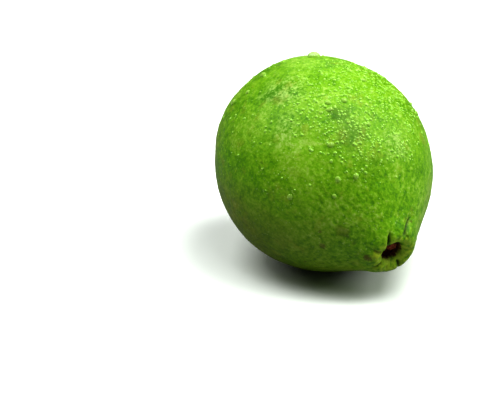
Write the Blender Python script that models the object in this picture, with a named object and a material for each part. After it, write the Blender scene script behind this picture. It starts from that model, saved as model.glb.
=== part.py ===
"""A whole guava, lying on its side on the small flat spot that it rests on.

The fruit is one solid. It is spun from its meridian around its own axis, which runs from the calyx (the
dried rest of the flower) to the stem scar. Then the mesh is made uneven as a fruit is: broad swells on the
body, five creases that pucker the short neck around the stem scar, and five short sepals drawn out of the
calyx rim. Last, the fruit is laid down and its underside is cut flat where it rests.

Everything is in metres, +Z up. The origin is the middle of the flat spot.
"""

import math

import bmesh
import bpy
from mathutils import Matrix, Vector

MM = 0.001

# Driving dimensions
EQUATOR_RADIUS = 36.4 * MM
STEM_TIP = 46.3 * MM  # from the body's centre to the top of the lobes round the stem scar
CALYX_RIM = 38.4 * MM  # from the body's centre to the rim of the calyx, the other way
SCAR_RADIUS = 3.6 * MM  # of the pit that the stalk came out of
SCAR_DEPTH = 4.8 * MM
CALYX_DISC_RADIUS = 4.0 * MM
SEPAL_COUNT = 5
SEPAL_LENGTH = 4.2 * MM
FLAT_DEPTH = 0.75 * MM  # how far the fruit is pressed in where it rests

# How it lies: the stem end points to the front right and a little down
STEM_HEADING = math.radians(-59.6)  # from +X, seen from above
STEM_DIP = math.radians(22.2)  # below the horizontal

# The stem end isn't square to the axis: it stands highest at this angle about the axis, by so much
LEAN_ANGLE = math.radians(32)
LEAN_RISE = 0.6 * MM

# The creases round the stem scar. Each has its angle about the stem axis, counted from the underside, where
# it is 7 mm from the axis; how many degrees it turns on each millimetre outward; the radii in millimetres
# where it starts and ends; and its depth in millimetres.
CREASES = (
    (-151, -4.5, 4.5, 10.5, 0.85),
    (164, -3.7, 6.5, 13.5, 0.75),
    (31, -2.0, 3.8, 8.6, 1.0),
    (-52, -1.5, 3.8, 9.0, 0.9),
    (-108, 0.0, 5.0, 11.0, 0.4),
)
CREASE_HALF_WIDTH = 0.55 * MM

SEGMENTS = 80


def meridian():
    """The outline from the calyx disc's middle to the stem scar's middle: radius, and place on the axis."""
    rim, tip, pit, disc_radius = CALYX_RIM, STEM_TIP, SCAR_RADIUS, CALYX_DISC_RADIUS
    disc = rim - 4.2 * MM
    floor = tip - SCAR_DEPTH
    calyx_end = [
        (0.0, -disc - 1.5 * MM),  # tip of the dried style
        (0.55 * MM, -disc - 1.2 * MM),
        (0.85 * MM, -disc),
        (0.6 * disc_radius, -disc + 0.15 * MM),
        (disc_radius, -disc - 0.2 * MM),
        (disc_radius + 0.8 * MM, -rim + 1.8 * MM),
        (disc_radius + 1.1 * MM, -rim),  # inner edge of the calyx rim
        (disc_radius + 2.2 * MM, -rim - 0.1 * MM),  # and its outer edge
        (disc_radius + 2.9 * MM, -rim + 1.5 * MM),
        (8.8 * MM, -37.0 * MM),  # the valley round the calyx
        (13.0 * MM, -36.5 * MM),
    ]
    body = [
        (19.4 * MM, -33.7 * MM),
        (26.4 * MM, -26.9 * MM),
        (31.6 * MM, -18.0 * MM),
        (35.3 * MM, -9.0 * MM),
        (EQUATOR_RADIUS, 0.0),
        (35.8 * MM, 8.8 * MM),
        (33.0 * MM, 17.5 * MM),
        (27.3 * MM, 27.1 * MM),
        (20.9 * MM, 33.6 * MM),
        (15.6 * MM, 38.6 * MM),
        (12.0 * MM, 41.8 * MM),
    ]
    stem_end = [
        (10.0 * MM, tip - 2.0 * MM),
        (8.1 * MM, tip - 0.3 * MM),
        (6.3 * MM, tip),  # the lobes' tops
        (pit + 1.0 * MM, tip - 0.6 * MM),
        (pit + 0.2 * MM, tip - 1.5 * MM),
        (pit - 0.1 * MM, tip - 2.8 * MM),
        (pit - 0.6 * MM, floor + 0.5 * MM),
        (pit - 1.7 * MM, floor),
        (0.9 * MM, floor + 0.4 * MM),  # what is left of the stalk in the pit
        (0.0, floor + 0.6 * MM),
    ]
    return [Vector(point) for point in calyx_end + body + stem_end]


def smooth(points, steps):
    """The points of a curve that passes through all of these, with so many steps between each two."""
    made = []
    last = len(points) - 1
    for i in range(last):
        before, start = points[max(i - 1, 0)], points[i]
        end, after = points[i + 1], points[min(i + 2, last)]
        chord = (end - start).length
        leaving = (end - before).normalized() * chord
        arriving = (after - start).normalized() * chord
        for step in range(steps):
            t = step / steps
            made.append(
                start * (2 * t**3 - 3 * t**2 + 1)
                + leaving * (t**3 - 2 * t**2 + t)
                + end * (3 * t**2 - 2 * t**3)
                + arriving * (t**3 - t**2)
            )
    return made + [points[last]]


def eased(value, start, end):
    """0 before start, 1 past end, and a smooth rise between them."""
    t = min(max((value - start) / (end - start), 0.0), 1.0)
    return t * t * (3 - 2 * t)


def spun_body():
    """A bmesh of the fruit as turned on a lathe, with its axis along Z and its stem end up."""
    mesh = bmesh.new()
    outline = smooth(meridian(), 2)
    outline[0].x = outline[-1].x = 0.0
    line = [mesh.verts.new((p.x, 0.0, p.y)) for p in outline]
    edges = [mesh.edges.new(pair) for pair in zip(line, line[1:])]
    bmesh.ops.spin(
        mesh,
        geom=line + edges,
        axis=(0, 0, 1),
        cent=(0, 0, 0),
        angle=2 * math.pi,
        steps=SEGMENTS,
        use_merge=True,
    )
    bmesh.ops.remove_doubles(mesh, verts=mesh.verts, dist=0.001 * MM)
    bmesh.ops.recalc_face_normals(mesh, faces=mesh.faces)
    return mesh


def swell(mesh):
    """Moves the body's skin in and out by up to a millimetre, because no fruit is truly round."""
    for vert in mesh.verts:
        radius, along = vert.co.to_2d().length, vert.co.z
        if radius < 0.01 * MM:
            continue
        turn = math.atan2(vert.co.y, vert.co.x)
        belly = eased(radius, 6 * MM, 24 * MM)
        height = along / EQUATOR_RADIUS
        push = (
            0.70 * math.cos(2 * turn + 2.85)
            + 0.36 * math.cos(3 * turn - 2.89)
            + 0.33 * math.cos(turn - 0.41) * math.sin(2.4 * height + 1.2)
        )
        outward = vert.co.normalized()
        vert.co += outward * push * belly * MM


def pucker_neck(mesh):
    """Leans the stem end over a little and draws the creases into it, with raised flesh on both sides."""
    for vert in mesh.verts:
        radius, along = vert.co.to_2d().length, vert.co.z
        if along < 30 * MM:
            continue
        turn = math.atan2(vert.co.y, vert.co.x)
        lean = LEAN_RISE * math.cos(turn - LEAN_ANGLE) * min(radius, 8 * MM) / (6 * MM)
        push = Vector()
        for at_seven, drift, start, end, depth in CREASES:
            at = math.radians(at_seven + drift * (radius / MM - 7))
            aside = ((turn - at + math.pi) % (2 * math.pi) - math.pi) * radius
            reach = eased(radius, (start - 1.2) * MM, (start + 0.8) * MM)
            reach *= 1 - eased(radius, (end - 3.5) * MM, end * MM)
            width = CREASE_HALF_WIDTH * (1 + eased(radius, start * MM, end * MM))
            groove = math.exp(-((aside / width) ** 2))
            shoulder = math.exp(-(((abs(aside) - 2.4 * width) / (1.3 * width)) ** 2))
            inward = Vector((-vert.co.x, -vert.co.y, -1.3 * radius)).normalized()
            push += inward * (groove - 0.3 * shoulder) * reach * depth * MM
        vert.co += push
        vert.co.z += lean * eased(along, 36 * MM, 44 * MM)


def draw_out_sepals(mesh):
    """Extrudes the sepals out of the top of the calyx rim, each leaning out and coming to a blunt point."""
    share = 360 / SEPAL_COUNT
    inner, outer = CALYX_DISC_RADIUS + 0.95 * MM, CALYX_DISC_RADIUS + 2.35 * MM
    for number in range(SEPAL_COUNT):
        middle = number * share + 14 * math.sin(2.3 * number)
        half = 0.36 * share
        top = []
        for face in mesh.faces:
            spot = face.calc_center_median()
            radius = spot.to_2d().length
            turn = math.degrees(math.atan2(spot.y, spot.x))
            near = abs((turn - middle + 180) % 360 - 180) < half
            if near and inner < radius < outer and spot.z < -CALYX_RIM + 0.5 * MM:
                top.append(face)
        length = SEPAL_LENGTH * (1 + 0.16 * math.cos(3.1 * number + 0.5))
        lean = 0.75 + 0.5 * math.sin(1.9 * number + 1.0)
        out = Vector((math.cos(math.radians(middle)), math.sin(math.radians(middle)), 0))
        for narrowed, share_of_length in ((0.96, 0.3), (0.86, 0.3), (0.66, 0.25), (0.5, 0.15)):
            made = bmesh.ops.extrude_face_region(mesh, geom=top)["geom"]
            bmesh.ops.delete(mesh, geom=top, context="FACES_ONLY")
            top = [part for part in made if isinstance(part, bmesh.types.BMFace)]
            verts = [part for part in made if isinstance(part, bmesh.types.BMVert)]
            rise = (out * lean - Vector((0, 0, 1))).normalized() * length * share_of_length
            spot = sum((v.co for v in verts), Vector()) / len(verts)
            sideways = out.cross(Vector((0, 0, 1)))
            for vert in verts:
                off = (vert.co - spot).dot(sideways)
                vert.co += rise - sideways * off * (1 - narrowed)
            lean += 0.45


def lay_down(mesh):
    """Turns the fruit as it lies, cuts the flat spot and puts the middle of that spot at the origin."""
    tilt = Matrix.Rotation(math.pi / 2 + STEM_DIP, 4, "Y")
    heading = Matrix.Rotation(STEM_HEADING, 4, "Z")
    mesh.transform(heading @ tilt)
    lowest = min(vert.co.z for vert in mesh.verts)
    mesh.transform(Matrix.Translation((0, 0, -lowest - FLAT_DEPTH)))
    cut = bmesh.ops.bisect_plane(
        mesh,
        geom=mesh.verts[:] + mesh.edges[:] + mesh.faces[:],
        plane_co=(0, 0, 0),
        plane_no=(0, 0, -1),
        clear_outer=True,
    )["geom_cut"]
    rim = [part for part in cut if isinstance(part, bmesh.types.BMVert)]
    for vert in rim:
        vert.co.z = 0.0
    bmesh.ops.contextual_create(mesh, geom=cut)
    middle = sum((vert.co for vert in rim), Vector()) / len(rim)
    mesh.transform(Matrix.Translation(-middle))


def skin_material():
    """Green guava skin, with the slight wax that it has."""
    material = bpy.data.materials.new("green_guava_skin")
    material.use_nodes = True
    shader = material.node_tree.nodes["Principled BSDF"]
    shader.inputs["Base Color"].default_value = (0.26, 0.46, 0.035, 1)
    shader.inputs["Roughness"].default_value = 0.42
    shader.inputs["Metallic"].default_value = 0.0
    return material


def clear_scene():
    for leftover in list(bpy.data.objects):
        bpy.data.objects.remove(leftover)


def main():
    clear_scene()
    mesh = spun_body()
    swell(mesh)
    pucker_neck(mesh)
    draw_out_sepals(mesh)
    lay_down(mesh)
    bmesh.ops.recalc_face_normals(mesh, faces=mesh.faces)
    data = bpy.data.meshes.new("guava")
    mesh.to_mesh(data)
    mesh.free()
    data.materials.append(skin_material())
    data.shade_smooth()
    fruit = bpy.data.objects.new("guava", data)
    bpy.context.scene.collection.objects.link(fruit)


main()
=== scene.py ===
# %% [markdown]
# # A wet guava, and how it is made
# A guava is one lump of flesh in a waxy green skin. Its shape is already fixed by the imported model, so this
# lesson makes what that model leaves plain: the fine unevenness of the skin, the mottled colours, the torn
# stalk in the scar, the dried flower parts at the other end, and the drops of water that lie on it.
# The first cell loads the imported model and puts each part's place into its mesh.

# %% Load the imported fruit
import math
import random

import bpy
from mathutils import Euler, Matrix, Vector


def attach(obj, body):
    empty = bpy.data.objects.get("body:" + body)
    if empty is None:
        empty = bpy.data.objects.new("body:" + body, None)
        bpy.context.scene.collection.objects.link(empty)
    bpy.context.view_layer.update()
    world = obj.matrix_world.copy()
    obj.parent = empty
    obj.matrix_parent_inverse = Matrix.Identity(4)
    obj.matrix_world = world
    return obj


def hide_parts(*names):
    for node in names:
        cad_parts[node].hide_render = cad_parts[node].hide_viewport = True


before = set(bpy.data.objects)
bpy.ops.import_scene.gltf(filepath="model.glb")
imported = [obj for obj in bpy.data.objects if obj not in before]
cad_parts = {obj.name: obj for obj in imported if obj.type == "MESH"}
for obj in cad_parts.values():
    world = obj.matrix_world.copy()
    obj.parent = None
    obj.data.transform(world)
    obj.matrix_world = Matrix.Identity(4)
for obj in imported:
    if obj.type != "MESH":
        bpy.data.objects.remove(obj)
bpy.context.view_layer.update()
MM = 0.001

# %% [markdown]
# The fruit lies on its side, so "round the stem" and "along the stem" are slanted directions in the room.
# It is easier to think in the fruit's own axes: +Z from the middle of the body to the stem scar and +X to
# the underside. One matrix turns those axes into the room's, and everything placed on the fruit goes through
# it.

# %% The fruit's own axes
BODY_CENTRE = Vector((-1.0, 1.8, 35.6)) * MM
STEM_HEADING = math.radians(-59.6)  # from +X, seen from above
STEM_DIP = math.radians(22.2)  # below the horizontal
FRUIT_TURN = Euler((0, math.pi / 2 + STEM_DIP, STEM_HEADING))
fruit_to_room = Matrix.Translation(BODY_CENTRE) @ FRUIT_TURN.to_matrix().to_4x4()
room_to_fruit = fruit_to_room.inverted()
print("stem axis:", [round(part, 3) for part in fruit_to_room.to_3x3() @ Vector((0, 0, 1))])

# %% [markdown]
# Most operators act on whatever is selected, so each step starts by clearing the selection and naming the
# piece that it works on. A finished piece has its modifiers applied and sits at the origin, with its place in
# its mesh.

# %% Small helpers for the operators


def pick(piece):
    """Leaves object mode ready to work on this piece alone."""
    bpy.ops.object.select_all(action="DESELECT")
    piece.select_set(True)
    bpy.context.view_layer.objects.active = piece


def apply_modifiers(piece):
    pick(piece)
    for modifier in list(piece.modifiers):
        bpy.ops.object.modifier_apply(modifier=modifier.name)


def settle(piece):
    """Puts the piece's place, turn and size into its mesh."""
    pick(piece)
    bpy.ops.object.transform_apply(location=True, rotation=True, scale=True)


def new_object(name, data):
    """Links a mesh, a lamp, a camera or nothing as a new object at the origin."""
    piece = bpy.data.objects.new(name, data)
    bpy.context.scene.collection.objects.link(piece)
    return piece


def fade(value, start, end):
    """0 up to start, 1 from end on, and smooth between. Start may be the larger one."""
    share = min(max((value - start) / (end - start), 0.0), 1.0)
    return share * share * (3 - 2 * share)


def outward(turn, rise):
    """A direction in the room: degrees from the front towards the right, and degrees above the floor."""
    turn = math.radians(turn)
    rise = math.radians(rise)
    return Vector((math.sin(turn) * math.cos(rise), -math.cos(turn) * math.cos(rise), math.sin(rise)))


def join(pieces):
    """Makes one piece of several, and gives it the first one's name."""
    bpy.ops.object.select_all(action="DESELECT")
    for piece in pieces:
        piece.select_set(True)
    bpy.context.view_layer.objects.active = pieces[0]
    bpy.ops.object.join()
    return pieces[0]


# %% [markdown]
# ## The skin
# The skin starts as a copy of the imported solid. That mesh is loose triangles, so the copy is welded first and
# its triangles are joined to quads, which subdivide more evenly. Two levels of subdivision give the modifiers
# that follow enough points to move.

# %% Copy, weld and refine the body
SKIN_LEVELS = 2
WELD_DISTANCE = 0.002 * MM
QUAD_LIMIT = math.radians(50)  # two triangles that bend or skew more than this stay triangles

skin = new_object("skin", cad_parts["guava"].data.copy())
skin.data.materials.clear()
pick(skin)
bpy.ops.object.mode_set(mode="EDIT")
bpy.ops.mesh.select_all(action="SELECT")
bpy.ops.mesh.remove_doubles(threshold=WELD_DISTANCE)
bpy.ops.mesh.tris_convert_to_quads(face_threshold=QUAD_LIMIT, shape_threshold=QUAD_LIMIT)
bpy.ops.mesh.normals_make_consistent(inside=False)
bpy.ops.object.mode_set(mode="OBJECT")
bpy.ops.object.shade_smooth()
refine = skin.modifiers.new("refine", "SUBSURF")
refine.levels = refine.render_levels = SKIN_LEVELS
apply_modifiers(skin)
print("skin:", len(skin.data.vertices), "points")

# %% [markdown]
# Where the stalk was, the neck is drawn together like the mouth of a purse. The folds already run through
# the imported shape. Here they get their sharp bottoms, and the flesh between them swells to a lip. Each fold
# is a line that winds a little round the stem. How near a point lies to a fold becomes its weight, which
# steers a Displace modifier. The same number is kept on the mesh as an attribute, so that the finish can
# paint shade into what lies deep in a fold. Pushed along their own normals, the two walls of a fold would
# cross, so the mesh is laid into the fruit's axes while the modifiers push straight along the stem.

# %% Sharpen the folds round the stem
FOLDS = (  # degrees round the stem, degrees more per mm outwards, first mm, last mm, strength
    (-153, -4.5, 4.2, 10.0, 1.00),
    (163, -3.7, 6.6, 13.4, 0.95),
    (150, 5.0, 6.4, 8.4, 0.60),
    (31, -2.0, 4.2, 9.0, 1.00),
    (-52, -1.5, 4.2, 9.6, 0.95),
    (-12, 1.5, 4.4, 7.2, 0.50),
    (-108, 0.0, 4.6, 9.8, 0.60),
    (95, 1.0, 4.4, 8.0, 0.40),
)
FOLD_ANGLE_AT = 7  # mm from the stem's axis, where a fold has the angle that is given
FOLD_HALF_WIDTH = 0.75  # mm
FOLD_START = 1.2  # mm over which a fold deepens from its inner end
FOLD_DEPTH = 1.0 * MM
LIP_HEIGHT = 0.55 * MM
LIP_INNER = (3.5, 5.2)  # mm from the stem's axis, where the lip begins and is full
LIP_OUTER = (9.5, 6.0)  # where it has ended, and until where it is full
NECK_FROM = 25  # mm along the stem; nothing nearer to the middle has folds


def fold_weight(place):
    """1 in the bottom of a fold, 0 away from them all. The place is in the fruit's axes, in mm."""
    if place.z < NECK_FROM:
        return 0.0
    radius = math.hypot(place.x, place.y)
    turn = math.degrees(math.atan2(place.y, place.x))
    deepest = 0.0
    for angle, drift, first, last, strength in FOLDS:
        line = angle + drift * (radius - FOLD_ANGLE_AT)
        aside = math.radians((turn - line + 180) % 360 - 180) * radius
        width = FOLD_HALF_WIDTH * (0.6 + 0.4 * fade(radius, last, first))
        across = math.exp(-((aside / width) ** 2))
        along = fade(radius, first, first + FOLD_START) * fade(radius, last, (first + last) / 2)
        deepest = max(deepest, strength * across * along)
    return deepest


def lip_weight(place):
    """1 on the ring of flesh that swells round the pit, 0 away from it."""
    if place.z < NECK_FROM:
        return 0.0
    radius = math.hypot(place.x, place.y)
    return fade(radius, *LIP_INNER) * fade(radius, *LIP_OUTER)


def weight_group(piece, name, weights):
    """A vertex group with one weight for each point, without the points of weight 0."""
    group = piece.vertex_groups.new(name=name)
    for index, weight in enumerate(weights):
        if weight > 0:
            group.add([index], weight, "REPLACE")


places = [room_to_fruit @ vertex.co / MM for vertex in skin.data.vertices]
depths = [fold_weight(place) for place in places]
skin.data.attributes.new("fold", "FLOAT", "POINT").data.foreach_set("value", depths)
weight_group(skin, "folded", depths)
weight_group(skin, "lip", [lip_weight(place) for place in places])

skin.data.transform(room_to_fruit)
for group, strength in (("lip", LIP_HEIGHT), ("folded", -FOLD_DEPTH)):
    move = skin.modifiers.new(group, "DISPLACE")
    move.vertex_group = group
    move.direction = "Z"
    move.strength = strength
    move.mid_level = 0
apply_modifiers(skin)
skin.data.transform(fruit_to_room)
print("folds sharpened:", len(FOLDS))

# %% [markdown]
# A real fruit is never as smooth as a turned one. Three Displace modifiers push the skin in and out with
# cloud textures: broad shallow dents from the way the flesh grew, lumps a few millimetres wide, and a fine
# pebbling. They read the place of each point from an empty that has the fruit's axes, so the dents can be
# drawn out along the stem as the ribs of the flesh are. The flat spot stays flat, because a vertex group
# holds it still.

# %% Dents, lumps and pebbles
DRAWN_OUT = 1.6  # how much longer than wide a dent is
STILL_UP_TO = 0.3 * MM  # above the table; the skin below it isn't moved
FREE_AFTER = 4 * MM  # above that, the skin moves freely

fruit_axes = new_object("fruit_axes", None)
fruit_axes.matrix_world = fruit_to_room @ Matrix.Diagonal((1, 1, DRAWN_OUT, 1))
bpy.context.view_layer.update()
heights = [(vertex.co.z - STILL_UP_TO) / FREE_AFTER for vertex in skin.data.vertices]
weight_group(skin, "free_skin", [min(max(height, 0.0), 1.0) for height in heights])


def displace_with_clouds(piece, name, size, strength):
    clouds = bpy.data.textures.new(name, "CLOUDS")
    clouds.noise_scale = size
    clouds.noise_depth = 1
    clouds.noise_type = "SOFT_NOISE"
    move = piece.modifiers.new(name, "DISPLACE")
    move.texture = clouds
    move.texture_coords = "OBJECT"
    move.texture_coords_object = fruit_axes
    move.vertex_group = "free_skin"
    move.strength = strength
    move.mid_level = 0.5


displace_with_clouds(skin, "dents", 11 * MM, 0.4 * MM)
displace_with_clouds(skin, "lumps", 4.0 * MM, 0.26 * MM)
displace_with_clouds(skin, "pebbles", 1.5 * MM, 0.16 * MM)
apply_modifiers(skin)
bpy.data.objects.remove(fruit_axes)
print("skin dented and pebbled")

# %% [markdown]
# ## Shader maths in plain Python
# A material is a web of small nodes. Wrapping a socket in a class that knows +, -, * and so on lets a mask be
# written as a formula. Every other node comes from one method, which takes its type, its settings and what
# goes into its sockets.

# %% The shader classes


class Flow:
    """One output of a node. Arithmetic on it adds Math nodes."""

    def __init__(self, finish, socket):
        self.finish = finish
        self.socket = socket

    def math(self, operation, *others, first=None):
        values = (self, *others) if first is None else (first, self)
        sockets = dict(enumerate(values))
        return self.finish.node("Math", {"operation": operation}, sockets)

    def __add__(self, other):
        return self.math("ADD", other)

    __radd__ = __add__

    def __mul__(self, other):
        return self.math("MULTIPLY", other)

    __rmul__ = __mul__

    def __sub__(self, other):
        return self.math("SUBTRACT", other)

    def __rsub__(self, other):
        return self.math("SUBTRACT", first=other)

    def __pow__(self, other):
        return self.math("POWER", other)

    def rise(self, start, end):
        """0 up to start, 1 from end on, and smooth between. Start may be the larger one."""
        settings = {"interpolation_type": "SMOOTHSTEP"}
        return self.finish.node("MapRange", settings, {"Value": self, "From Min": start, "From Max": end})


class Finish:
    """A material that is built up node by node, with its Principled shader."""

    def __init__(self, name):
        self.material = bpy.data.materials.new(name)
        self.material.use_nodes = True
        self.tree = self.material.node_tree
        self.shader = self.tree.nodes["Principled BSDF"]

    def node(self, kind, settings=None, sockets=None, output=0):
        made = self.tree.nodes.new("ShaderNode" + kind)
        for name, value in (settings or {}).items():
            if name == "stops":
                self.set_stops(made.color_ramp, value)
            else:
                setattr(made, name, value)
        for name, value in (sockets or {}).items():
            self.feed(made.inputs[name], value)
        return Flow(self, made.outputs[output])

    def set_stops(self, ramp, stops):
        while len(ramp.elements) < len(stops):
            ramp.elements.new(1.0)
        for element, (place, colour) in zip(ramp.elements, stops):
            element.position = place
            element.color = (*colour, 1)

    def feed(self, socket, value):
        if isinstance(value, Flow):
            self.tree.links.new(value.socket, socket)
        elif socket.type == "RGBA" and len(value) == 3:
            socket.default_value = (*value, 1)
        else:
            socket.default_value = value

    def set(self, **values):
        """Feeds the Principled shader, its socket names written with underscores."""
        for name, value in values.items():
            self.feed(self.shader.inputs[name.replace("_", " ")], value)

    def mix(self, share, first, second):
        """The first colour where share is 0, the second where it is 1."""
        return self.node("Mix", {"data_type": "RGBA"}, {0: share, 6: first, 7: second}, output=2)

    def fruit_place(self, stretch=(1, 1, 1)):
        """The place on the fruit in its own axes, in mm. A stretch draws patterns out along an axis."""
        room = self.node("TexCoord", output=3)
        sizes = [MM * part for part in stretch]
        settings = {"vector_type": "TEXTURE"}
        sockets = {"Vector": room, "Location": BODY_CENTRE, "Rotation": FRUIT_TURN, "Scale": sizes}
        return self.node("Mapping", settings, sockets)

    def noise(self, place, size, detail=3.0, roughness=0.5, distortion=0.0):
        """Soft noise whose lumps are about so many millimetres wide."""
        sockets = {
            "Vector": place,
            "Scale": 1 / size,
            "Detail": detail,
            "Roughness": roughness,
            "Distortion": distortion,
        }
        return self.node("TexNoise", None, sockets)

    def cells(self, place, size, feature="F1"):
        """Distance from the middle of scattered cells about so many millimetres wide, in cell widths."""
        return self.node("TexVoronoi", {"feature": feature}, {"Vector": place, "Scale": 1 / size})

    def parts(self, place):
        """X, Y and Z of a place, each as a flow."""
        made = self.node("SeparateXYZ", None, {0: place})
        return [Flow(self, socket) for socket in made.socket.node.outputs]

    def patch(self, place, middle, radius):
        """1 near one place on the fruit and 0 beyond the radius, in millimetres, with a ragged edge."""
        away = self.node("VectorMath", {"operation": "DISTANCE"}, {0: place, 1: middle}, output=1)
        ragged_away = away + (self.noise(place, radius * 0.5, detail=3) - 0.5) * (1.4 * radius)
        return ragged_away.rise(radius, radius * 0.35)

    def attribute(self, name):
        """A number that is kept on the points of the mesh."""
        return self.node("Attribute", {"attribute_name": name}, None, output=2)

    def bump(self, height, strength, depth):
        return self.node("Bump", None, {"Height": height, "Strength": strength, "Distance": depth})


# %% [markdown]
# ## The finish of the skin
# Guava skin is lime green with paler and deeper mottles a few millimetres wide, tiny pale pores, and a few
# brown flecks. Towards the stem the mottles draw out into streaks that run up the neck. The underside, which
# had less sun, is more olive, and it is also painted darker as shade on the side that faces the floor. All
# of it is worked out in the fruit's own axes, so the pattern follows the fruit and not the room. Three layers
# of noise, from broad to fine, are added up to one tone, which a colour ramp turns into greens. Patches of
# painted shade and painted sheen, pores, flecks and the two ends are then laid over it one after another.

# %% The skin's colours
DEEP_GREEN = (0.085, 0.260, 0.002)
MID_GREEN = (0.155, 0.380, 0.002)
LIME = (0.230, 0.470, 0.014)
PALE_LIME = (0.380, 0.590, 0.100)
# Painted shade: the green that the shaded patches darken the skin to.
PAINTED_SHADE_GREEN = (0.050, 0.150, 0.001)
# Olive darkened as painted shade, for the underside.
OLIVE_WITH_PAINTED_SHADE = (0.065, 0.120, 0.001)
OLIVE = (0.170, 0.255, 0.003)
# Pale for the pores, and painted sheen for the pale patches.
PORE_WHITE_AND_SHEEN = (0.520, 0.700, 0.240)
YELLOWISH = (0.430, 0.560, 0.030)
TAN = (0.300, 0.330, 0.030)
FLECK_BROWN = (0.110, 0.110, 0.008)
# Painted shade, for the bottoms of the folds.
FOLD_PAINTED_SHADE = (0.022, 0.050, 0.001)
PIT_DARK = (0.020, 0.007, 0.003)
SCAR_BROWN = (0.110, 0.026, 0.006)
CALYX_DARK = (0.050, 0.028, 0.010)
CALYX_BROWN = (0.120, 0.070, 0.022)

# %% Patches that have a place of their own: painted shade, painted sheen and brown spots
# Painted shade: these patches darken the skin where shade falls on it.
PAINTED_SHADE_PATCHES = (  # middle in the fruit's axes in mm, radius in mm, strength
    ((-33.1, -9.0, 11.2), 4.5, 0.60),
    ((-29.0, -8.0, 18.3), 7.0, 0.50),
    ((-22.0, -4.0, 26.0), 7.0, 0.30),
)
# Painted sheen: these pale patches on the upper side stand for light glancing off the skin.
PAINTED_SHEEN_PATCHES = (
    ((-24.6, -25.1, 7.2), 8.0, 0.45),
    ((-28.1, 6.6, 24.3), 7.0, 0.40),
    ((-29.0, -19.0, -9.0), 10.0, 0.50),
)
BROWN_SPOTS = (
    ((1.2, -20.5, 35.0), 1.6, 0.70),
    ((0.6, -9.2, 44.9), 1.9, 0.90),
    ((-6.0, -16.0, 37.0), 3.5, 0.45),
)
YELLOW_LOBE = ((-1.1, -6.7, 46.0), 2.2, 0.80)


# %% Green, patches and ends, one layer over another


def skin_patches(finish, place, speckle, colour):
    """Lays the patches of painted shade and painted sheen and the brown spots, each with a place of its own,
    over a colour.
    """
    # Painted shade first, then painted sheen, then brown spots.
    for middle, size, share in PAINTED_SHADE_PATCHES:
        colour = finish.mix(finish.patch(place, middle, size) * share, colour, PAINTED_SHADE_GREEN)
    # Painted sheen: pale patches where light glances off the upper skin, broken up by the speckle.
    for middle, size, share in PAINTED_SHEEN_PATCHES:
        colour = finish.mix(finish.patch(place, middle, size) * speckle * share, colour, PORE_WHITE_AND_SHEEN)
    tan = finish.noise(place, 6.5, detail=3, roughness=0.6).rise(0.56, 0.72) * 0.35
    colour = finish.mix(tan, colour, TAN)
    for middle, size, share in BROWN_SPOTS:
        colour = finish.mix(finish.patch(place, middle, size) * share, colour, FLECK_BROWN)
    return colour


def skin_flecks(finish, place, mottles, colour):
    """Lays pale pores and brown flecks over a colour, both in clusters."""
    pores = finish.cells(place, 1.3)
    pore_mask = pores.rise(0.26, 0.10) * finish.noise(place, 7).rise(0.40, 0.58) * 0.40
    colour = finish.mix(pore_mask, colour, PORE_WHITE_AND_SHEEN)
    flecks = finish.cells(place, 6.5)
    fleck_mask = flecks.rise(0.13, 0.05) * mottles.rise(0.46, 0.54) * 0.6
    return finish.mix(fleck_mask, colour, FLECK_BROWN)


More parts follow.
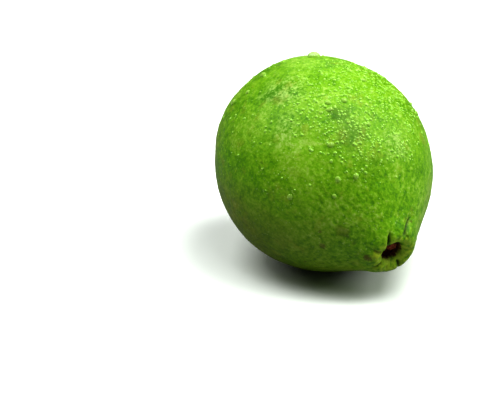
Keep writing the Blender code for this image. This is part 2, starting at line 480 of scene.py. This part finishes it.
def skin_finish():
    finish = Finish("guava_skin")
    place = finish.fruit_place()
    drawn_out = finish.fruit_place(stretch=(1, 1, 4))
    down, across, along = finish.parts(place)
    radius = (down**2 + across**2) ** 0.5

    broad = finish.noise(place, 16, detail=2)
    mottles = finish.noise(place, 3.0, detail=4, roughness=0.62, distortion=0.3)
    grain = finish.noise(place, 1.0, detail=3, roughness=0.65)
    streaks = finish.noise(drawn_out, 1.7, detail=4, roughness=0.6)
    neck = along.rise(14, 36)
    tone = broad * 0.26 + mottles * 0.34 + grain * 0.40
    tone = tone + (streaks - mottles) * neck * 0.5
    stops = [(0.39, DEEP_GREEN), (0.47, MID_GREEN), (0.54, LIME), (0.65, PALE_LIME)]
    colour = finish.node("ValToRGB", {"stops": stops}, {0: tone})

    # The underside: olive as its own colour, and darker as painted shade on the side that faces the floor.
    underside = (down + (broad - 0.5) * 34).rise(-15, 17) * (0.9 - neck * 0.35)
    colour = finish.mix(underside, colour, finish.mix(tone.rise(0.36, 0.62), OLIVE_WITH_PAINTED_SHADE, OLIVE))
    speckle = (mottles * 0.5 + grain * 0.5).rise(0.44, 0.60)
    colour = skin_patches(finish, place, speckle, colour)
    colour = skin_flecks(finish, place, mottles, colour)

    # The stem end: a yellowish lip, painted shade in the folds and the brown pit.
    lip_glow = radius.rise(9.5, 6.0) * along.rise(41, 44) * streaks.rise(0.35, 0.6)
    colour = finish.mix(lip_glow * 0.5, colour, YELLOWISH)
    lobe_middle, lobe_size, lobe_share = YELLOW_LOBE
    colour = finish.mix(finish.patch(place, lobe_middle, lobe_size) * lobe_share, colour, YELLOWISH)
    # Painted shade: the bottoms of the folds are darkened where shade falls in them.
    colour = finish.mix(finish.attribute("fold").rise(0.15, 0.95) * 0.85, colour, FOLD_PAINTED_SHADE)
    scar = (radius + (grain - 0.5) * 0.8).rise(4.0, 3.5) * along.rise(38, 41)
    colour = finish.mix(scar, colour, finish.mix(grain.rise(0.35, 0.65), PIT_DARK, SCAR_BROWN))

    # The flower end: brown tips on the sepals and a dark disc.
    calyx = (along + (streaks - 0.5) * 3).rise(-38.2, -39.8)
    colour = finish.mix(calyx, colour, finish.mix(streaks.rise(0.4, 0.6), CALYX_BROWN, OLIVE))
    disc = radius.rise(5.6, 4.6) * along.rise(-20, -30)
    colour = finish.mix(disc, colour, finish.mix(grain.rise(0.4, 0.6), CALYX_DARK, CALYX_BROWN))

    pebbles = finish.cells(place, 1.1, feature="SMOOTH_F1")
    height = (1 - pebbles) * 0.55 + grain * 0.45 + finish.noise(place, 0.4) * 0.15
    height = height + streaks * neck * 0.9
    finish.set(Base_Color=colour, Normal=finish.bump(height, 0.6, 0.32 * MM))
    finish.set(Roughness=0.36 + mottles * 0.24 + scar * 0.3 + calyx * 0.3, Specular_IOR_Level=0.20)
    return finish.material


skin.data.materials.append(skin_finish())
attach(skin, "root")
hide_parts("guava")
print("skin finished")

# %% [markdown]
# ## The torn stalk
# When the fruit is twisted off its tree, a stump of the stalk stays in the pit. It is a short round bar with
# a ragged end. The bar starts as a cone cut short. Its top is pulled in and pushed down by insets, so that
# a rim of bark stands round the broken wood, and cloud noise roughens it. It is modelled upright in the
# fruit's axes and turned into place at the end.

# %% The stump in the pit
STUMP_HEIGHT = 3.3 * MM
STUMP_RADIUS = 2.05 * MM
STUMP_FOOT = Vector((-0.80, 0.90, 41.0)) * MM  # in the fruit's axes, on the floor of the pit
STUMP_SPREAD = 1.25  # how much wider the foot is than the top
STUMP_RINGS = ((0.35, 0.15), (0.30, -0.55), (0.50, 0.25), (0.40, -0.30))  # mm inwards and mm up, in turn
TORN_DARK = (0.060, 0.012, 0.004)
TORN_LIGHT = (0.360, 0.080, 0.018)

bpy.ops.object.select_all(action="DESELECT")
middle = STUMP_FOOT + Vector((0, 0, STUMP_HEIGHT / 2))
radii = {"radius1": STUMP_RADIUS * STUMP_SPREAD, "radius2": STUMP_RADIUS}
bpy.ops.mesh.primitive_cone_add(vertices=28, **radii, depth=STUMP_HEIGHT, location=middle)
stump = bpy.context.object
stump.name = "torn_stalk"
settle(stump)
just_below_top = STUMP_FOOT.z + STUMP_HEIGHT - 0.1 * MM
on_top = [face.center.z > just_below_top for face in stump.data.polygons]
stump.data.polygons.foreach_set("select", on_top)
bpy.ops.object.mode_set(mode="EDIT")
bpy.ops.mesh.select_mode(type="FACE")
for inwards, up in STUMP_RINGS:
    bpy.ops.mesh.inset(thickness=inwards * MM, depth=up * MM)
bpy.ops.mesh.select_all(action="SELECT")
bpy.ops.mesh.subdivide(number_cuts=2, smoothness=0.4)
bpy.ops.mesh.normals_make_consistent(inside=False)
bpy.ops.object.mode_set(mode="OBJECT")
bpy.ops.object.shade_smooth()
splinters = bpy.data.textures.new("splinters", "CLOUDS")
splinters.noise_scale = 0.9 * MM
rough = stump.modifiers.new("rough", "DISPLACE")
rough.texture = splinters
rough.texture_coords = "LOCAL"
rough.strength = 0.75 * MM
apply_modifiers(stump)
stump.data.transform(fruit_to_room)


def dry_finish(name, dark, light, size):
    """Dried plant matter: two browns in fibres along the stem."""
    finish = Finish(name)
    place = finish.fruit_place(stretch=(1, 1, 2.5))
    fibres = finish.noise(place, size, detail=4, roughness=0.65)
    finish.set(Base_Color=finish.mix(fibres.rise(0.38, 0.62), dark, light))
    finish.set(Roughness=0.75 - fibres * 0.2, Specular_IOR_Level=0.25)
    finish.set(Normal=finish.bump(fibres, 0.8, 0.25 * MM))
    return finish.material


stump.data.materials.append(dry_finish("torn_wood", TORN_DARK, TORN_LIGHT, 0.8))
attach(stump, "root")
print("torn stalk:", len(stump.data.polygons), "faces")

# %% [markdown]
# ## What is left of the flower
# At the other end the five sepals of the flower dry to short brown tips round a small disc. In the middle
# stands the stub of the style, and round it two rings of broken stamens, thin as hairs. Each is a thin cone,
# made by a seeded loop, a little longer, shorter or more slanted than the next.

# %% The dried stamens and style
DISC_LEVEL = -37.0  # mm along the stem, where the stamens stand
STYLE_TIP = (0.5, 0.4, DISC_LEVEL - 3.4)
STAMEN_RINGS = ((2.3, 15), (3.1, 22))  # mm from the middle, and how many
FLOWER_DARK = (0.040, 0.020, 0.008)
FLOWER_LIGHT = (0.200, 0.120, 0.050)


def thin_cone(name, foot, tip, foot_radius, tip_radius, sides):
    """A tapered bar between two places in the fruit's axes, in mm."""
    span = Vector(tip) - Vector(foot)
    bpy.ops.object.select_all(action="DESELECT")
    middle = (Vector(foot) + Vector(tip)) / 2 * MM
    turn = span.to_track_quat("Z", "Y").to_euler()
    sizes = {"radius1": foot_radius * MM, "radius2": tip_radius * MM, "depth": span.length * MM}
    bpy.ops.mesh.primitive_cone_add(vertices=sides, location=middle, rotation=turn, **sizes)
    bpy.ops.object.shade_smooth()
    piece = bpy.context.object
    piece.name = name
    settle(piece)
    piece.data.transform(fruit_to_room)
    return piece


random.seed(1906)
stalks = [thin_cone("dried_flower", (0, 0, DISC_LEVEL), STYLE_TIP, 0.75, 0.40, 12)]
for ring_radius, count in STAMEN_RINGS:
    for index in range(count):
        turn = math.tau * (index + random.uniform(-0.3, 0.3)) / count
        foot = Vector((ring_radius * math.cos(turn), ring_radius * math.sin(turn), DISC_LEVEL))
        lean = Vector((random.uniform(-0.7, 0.7), random.uniform(-0.7, 0.7), -random.uniform(1.2, 2.9)))
        stalks.append(thin_cone("stamen", foot, foot + lean, 0.20, 0.09, 6))
dried_flower = join(stalks)
dried_flower.data.materials.append(dry_finish("dried_flower_brown", FLOWER_DARK, FLOWER_LIGHT, 0.5))
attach(dried_flower, "root")
print("dried flower:", len(stalks), "stalks")

# %% [markdown]
# ## Water on the skin
# Water sits on waxy skin as domes with a round foot. One dome is modelled: a sphere, cut flat below. Each
# drop is a copy with its own mesh, squeezed a little one way, and its foot lies just under the skin so that
# no gap shows. To find where a drop sits, a ray is shot at the middle of the fruit, and the drop stands on
# the skin where the ray lands. The few large drops are listed one by one, with a fine dome. The many beads
# have a coarse one, and are scattered by a seeded draw, densest on the upper front, where the spray fell.

# %% One dome, copied
DROP_FOOT = 0.30  # how far below the sphere's middle it is cut, as a share of its radius
RAY_START = 0.1  # m from the body's middle, well outside the skin
SPIN_PER_TURN = 7  # a drop is spun about its own middle by so many times its turn round the fruit


def make_dome(name, sides, rings):
    bpy.ops.object.select_all(action="DESELECT")
    bpy.ops.mesh.primitive_uv_sphere_add(segments=sides, ring_count=rings, radius=1)
    dome = bpy.context.object
    dome.name = name
    bpy.ops.object.mode_set(mode="EDIT")
    bpy.ops.mesh.select_all(action="SELECT")
    plane = {"plane_co": (0, 0, -DROP_FOOT), "plane_no": (0, 0, 1)}
    bpy.ops.mesh.bisect(**plane, use_fill=True, clear_inner=True)
    bpy.ops.object.mode_set(mode="OBJECT")
    bpy.ops.object.shade_smooth()
    return dome


def drop_stand(turn, rise, radius, height, stretch):
    """What takes the dome to its place on the skin: the radius in mm, the height as a share of it."""
    heading = outward(turn, rise)
    _, place, normal, _ = skin.ray_cast(BODY_CENTRE + heading * RAY_START, -heading)
    upright = normal.to_track_quat("Z", "Y").to_matrix().to_4x4()
    spin = Matrix.Rotation(math.radians(turn * SPIN_PER_TURN), 4, "Z")
    sizes = Vector((radius * stretch, radius / stretch, radius * height)) * MM
    return Matrix.Translation(place) @ upright @ spin @ Matrix.Diagonal((*sizes, 1))


def set_drops(name, dome, spots):
    """Joins copies of the dome into one piece. All rays are shot first, as each new object slows them."""
    stands = [drop_stand(*spot) for spot in spots]
    copies = []
    for stand in stands:
        mesh = dome.data.copy()
        mesh.transform(stand)
        copies.append(new_object(name, mesh))
    drops = join(copies)
    print(name + ":", len(spots), "drops,", len(drops.data.polygons), "faces")
    return drops


# %% Large drops, listed one by one
LARGE_DROPS = (  # turn, rise, radius in mm, height share, stretch
    (-161.6, 73.9, 2.2, 0.80, 1.05),
    (-102.1, 55.1, 1.15, 0.85, 1.00),
    (13.5, 14.1, 0.95, 0.62, 1.02),
    (4.4, 13.1, 0.95, 0.62, 0.98),
    (2.7, 5.0, 0.75, 0.65, 0.95),
    (-19.1, 2.9, 1.00, 0.45, 1.05),
    (1.2, 30.2, 1.00, 0.60, 1.15),
    (0.2, 54.2, 1.00, 0.62, 1.05),
    (1.5, 49.7, 1.00, 0.55, 1.30),
    (15.2, 54.8, 1.05, 0.62, 1.00),
    (-95.8, 34.1, 1.30, 0.55, 1.10),
    (-89.3, 44.8, 0.95, 0.60, 1.00),
    (14.0, 41.5, 0.75, 0.65, 1.00),
    (27.4, 38.9, 0.70, 0.65, 1.10),
    (-5.5, 48.0, 0.70, 0.65, 1.00),
    (55.7, 64.9, 0.90, 0.62, 1.00),
    (10.2, 36.3, 0.70, 0.65, 1.15),
    (118.0, 48.0, 1.10, 0.60, 1.05),
    (150.0, 35.0, 0.85, 0.62, 1.00),
    (175.0, 52.0, 1.25, 0.60, 1.00),
    (-140.0, 40.0, 0.90, 0.60, 1.10),
    (88.0, 30.0, 0.80, 0.62, 1.00),
)
smooth_dome = make_dome("smooth_dome", 24, 14)
large_drops = set_drops("large_drops", smooth_dome, LARGE_DROPS)
bpy.data.objects.remove(smooth_dome)

# %% Beads, scattered
random.seed(1907)
SPRAY_MIDDLE = Vector((0.32, -0.50, 0.82)).normalized()
SPRAY_EDGE = 0.68  # cosine of the angle to the middle of the spray, where its beads end
SPRAY_CORE = 0.97  # and within which they are densest
SPRAY_SHARE = 0.75  # the share of tries that leave a bead there
STRAY_SHARE = 0.05  # and all over the upper side
LOWEST_HEIGHT = -0.25  # of a bead, as the sine of its rise
BEAD_TRIES = 13000


def bead_spots():
    spots = []
    for _ in range(BEAD_TRIES):
        turn = random.uniform(-180, 180)
        rise = math.degrees(math.asin(random.uniform(LOWEST_HEIGHT, 1)))
        nearness = fade(outward(turn, rise).dot(SPRAY_MIDDLE), SPRAY_EDGE, SPRAY_CORE)
        chance = STRAY_SHARE * fade(rise, -5, 35) + SPRAY_SHARE * nearness
        radius = 0.20 + 0.40 * random.random() ** 3
        height = random.uniform(0.55, 0.85)
        stretch = random.uniform(0.9, 1.15)
        if random.random() < chance:
            spots.append((turn, rise, radius, height, stretch))
    return spots


plain_dome = make_dome("plain_dome", 8, 6)
beads = set_drops("beads", plain_dome, bead_spots())
bpy.data.objects.remove(plain_dome)

# %% [markdown]
# Water is clear, but a drop on bright skin doesn't look like glass: it gathers the light that falls on it and
# glows in a paler green, with a small highlight on top. As refracting glass, drops this small come out dark.
# So they are a glossy film that lets part of the skin through, less of it near the drop's rim, and their pale
# green is painted light: it stands in for the light that the drop gathers and the green skin seen through it.

# %% The finish of water


WATER_OPACITY = 0.66
# Painted light: the pale greens of the drops and beads stand in for the light that the water gathers and the
# skin seen through it.
DROP_PAINTED_LIGHT = (0.48, 0.76, 0.14)
BEAD_PAINTED_LIGHT = (0.58, 0.97, 0.18)


def water_finish(name, painted_light):
    finish = Finish(name)
    rim = finish.node("LayerWeight", None, {"Blend": 0.35}, output=1)
    finish.set(Base_Color=painted_light, Roughness=0.10, IOR=1.33, Specular_IOR_Level=0.6)
    finish.set(Alpha=(rim * 0.5 + 0.75) * WATER_OPACITY)
    return finish.material


large_drops.data.materials.append(water_finish("drop_water", DROP_PAINTED_LIGHT))
beads.data.materials.append(water_finish("bead_water", BEAD_PAINTED_LIGHT))
for drops in (large_drops, beads):
    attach(drops, "root")
print("water finished")

# %% [markdown]
# ## Floor, light and camera
# The fruit lies on plain white. The floor shows nearly white, but light that bounces off it meets a darker
# grey, so that the fruit's lower half keeps its depth. Further out the floor glows and runs into the white
# of the room, so that no horizon shows from low down.

# %% Floor
# Painted light: the floor's faint green stands in for green light that the fruit throws into its shadow.
FLOOR_SEEN = (0.955, 1.0, 0.96)
FLOOR_FOR_BOUNCE = (0.38, 0.38, 0.38)
GLOW_FROM = 0.25  # m from the fruit
GLOW_FULL = 0.60

bpy.ops.object.select_all(action="DESELECT")
bpy.ops.mesh.primitive_plane_add(size=8, location=(0, 0, 0))
floor = bpy.context.object
floor.name = "floor"
white = Finish("white_floor")
seen_directly = white.node("LightPath")
away = white.node("VectorMath", {"operation": "LENGTH"}, {0: white.node("TexCoord", output=3)}, output=1)
glow = away.rise(GLOW_FROM, GLOW_FULL) * seen_directly
white.set(Base_Color=white.mix(seen_directly, FLOOR_FOR_BOUNCE, FLOOR_SEEN))
white.set(Emission_Color=white.mix(glow, (0, 0, 0), (1, 1, 1)), Emission_Strength=1.0)
white.set(Roughness=0.7, Specular_IOR_Level=0.2)
floor.data.materials.append(white.material)
print("floor:", [round(side, 1) for side in floor.dimensions], "m")

# %% [markdown]
# Six square softboxes stand round the fruit, all as far from it. Three come from above and make the bright
# top with a soft edge to the shadow, and the walls on the right, left and back brighten the sides. Almost no
# light comes from everywhere, so what no box reaches stays deep. The room is white only where the camera
# looks straight at it. The view's gamma is a little below 1, which deepens the contrast.

# %% Lights
BOX_SIDE = 0.45
BOX_AWAY = 0.90
SOFTBOXES = (  # name, turn from the front towards the right, rise, power in watts
    ("top_right", 80, 68, 4.7),
    ("front_right", 30, 64, 3.2),
    ("right_wall", 92, 34, 3.9),
    ("top_left", -90, 66, 4.6),
    ("left_wall", -105, 38, 1.6),
    ("back_wall", 180, 32, 0.8),
)
for name, turn, rise, power in SOFTBOXES:
    lamp = bpy.data.lights.new(name, "AREA")
    lamp.shape = "SQUARE"
    lamp.size = BOX_SIDE
    lamp.energy = power
    heading = outward(turn, rise)
    box = new_object(name, lamp)
    box.location = heading * BOX_AWAY
    box.rotation_euler = heading.to_track_quat("Z", "Y").to_euler()
print("softboxes:", len(SOFTBOXES))

# %% Room
ROOM_LIGHT = 0.03

world = bpy.data.worlds.new("white_room")
world.use_nodes = True
room = world.node_tree
dim = room.nodes["Background"]
dim.inputs["Color"].default_value = (1, 1, 1, 1)
dim.inputs["Strength"].default_value = ROOM_LIGHT
bright = room.nodes.new("ShaderNodeBackground")
bright.inputs["Color"].default_value = (1, 1, 1, 1)
choose = room.nodes.new("ShaderNodeMixShader")
room.links.new(room.nodes.new("ShaderNodeLightPath").outputs["Is Camera Ray"], choose.inputs[0])
room.links.new(dim.outputs[0], choose.inputs[1])
room.links.new(bright.outputs[0], choose.inputs[2])
room.links.new(choose.outputs[0], room.nodes["World Output"].inputs["Surface"])
bpy.context.scene.world = world
view = bpy.context.scene.view_settings
view.view_transform = "Standard"
view.look = "None"
view.gamma = 0.77
print("room light:", ROOM_LIGHT)

# %% [markdown]
# The camera looks down on the fruit by 23 degrees from 450 mm away, with a longish lens. Its axis points
# to the left of the fruit's middle and below it, so that the fruit stands in the upper right of the view.

# %% Camera
CAMERA_DISTANCE = 0.45
CAMERA_ELEVATION = math.radians(23)
AIM = Vector((-26.1, -4.8, 24.2)) * MM
LENS = 93.7  # mm, on a sensor 36 mm wide

camera_data = bpy.data.cameras.new("camera")
camera_data.lens = LENS
camera_data.sensor_width = 36
camera_data.clip_start = 0.01
camera = new_object("camera", camera_data)
back = Vector((0, -math.cos(CAMERA_ELEVATION), math.sin(CAMERA_ELEVATION)))
camera.location = AIM + back * CAMERA_DISTANCE
camera.rotation_euler = (math.pi / 2 - CAMERA_ELEVATION, 0, 0)
bpy.context.scene.camera = camera
print("camera at", [round(part, 3) for part in camera.location], "m")
